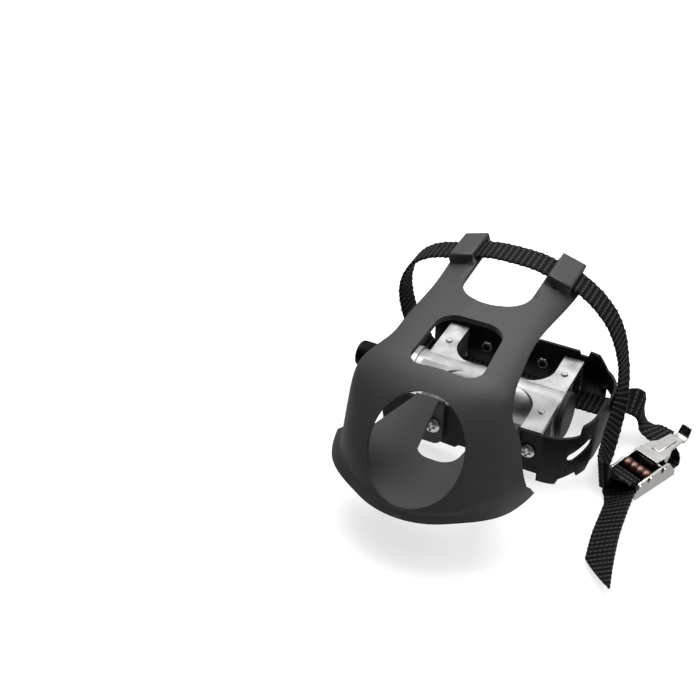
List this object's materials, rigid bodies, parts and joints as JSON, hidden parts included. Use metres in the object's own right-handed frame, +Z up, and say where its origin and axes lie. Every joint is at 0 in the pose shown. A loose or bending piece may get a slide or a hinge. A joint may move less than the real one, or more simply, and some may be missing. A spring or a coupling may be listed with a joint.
{
  "type": "toe clip pedal",
  "caption": "Platform bicycle pedal with a moulded toe clip cage, woven strap through its prongs and a cam buckle, turning on a threaded spindle.",
  "frame": {"origin": "on the spindle axis at the shoulder that meets the crank arm", "axes": "+X outwards along the spindle, -Y the way the toe points, +Z up out of the platform"},
  "size_m": [0.1727, 0.1586, 0.0909],
  "materials": {
    "spindle_steel": "ground and lightly worn",
    "bearing_steel": "polished",
    "zinc": "bright zinc plate",
    "seal_rubber": "matte",
    "cap_plastic": "matte black",
    "cast_alloy": "as cast, tumbled",
    "black_steel": "satin black",
    "clip_plastic": "fine matte grain, charcoal",
    "housing_plastic": "matte black",
    "amber_lens": "clear amber, prismatic back",
    "buckle_chrome": "bright nickel-chrome plate",
    "roller_bronze": "dark bronze",
    "spring_steel": "drawn wire",
    "strap_webbing": "black woven webbing, ribbed"
  },
  "bodies": {
    "spindle": {"spindle": "spindle_steel", "seal_collar": "seal_rubber", "cone_nut": "bearing_steel", "lock_washer": "zinc", "lock_nut": "zinc", "inner_balls": "bearing_steel", "outer_balls": "bearing_steel"},
    "pedal": {"inner_cup": "bearing_steel", "outer_cup": "bearing_steel", "dust_cap": "cap_plastic", "pedal_body": "cast_alloy", "cage": "black_steel", "cage_screws": "zinc", "toe_clip": "clip_plastic", "toe_clip_screws": "zinc", "toe_clip_washers": "zinc", "toe_clip_nuts": "zinc", "reflector_housing": "housing_plastic", "rear_reflector": "amber_lens", "reflector_nuts": "zinc", "buckle_frame": "buckle_chrome", "strap_bar": "buckle_chrome", "roller_pin": "buckle_chrome", "lever_pin": "buckle_chrome", "lever_spring": "spring_steel", "strap": "strap_webbing"},
    "lever": {"buckle_lever": "buckle_chrome"},
    "roller": {"buckle_roller": "roller_bronze"}
  },
  "joints": [
    {"name": "pedal_spin", "type": "hinge", "parent": "spindle", "child": "pedal", "pos_m": [0.062, 0, 0], "axis": [1, 0, 0], "continuous": true},
    {"name": "lever_open", "type": "hinge", "parent": "pedal", "child": "lever", "pos_m": [0.1466, -0.00263, -0.0099], "axis": [0.9164, -0.4003, 0], "range_deg": [0, 70], "stiffness_Nm_per_rad": 0.02, "springref_deg": -11.46},
    {"name": "roller_spin", "type": "hinge", "parent": "pedal", "child": "roller", "pos_m": [0.14256, -0.01188, -0.0102], "axis": [-0.9164, 0.4003, 0], "continuous": true}
  ]
}
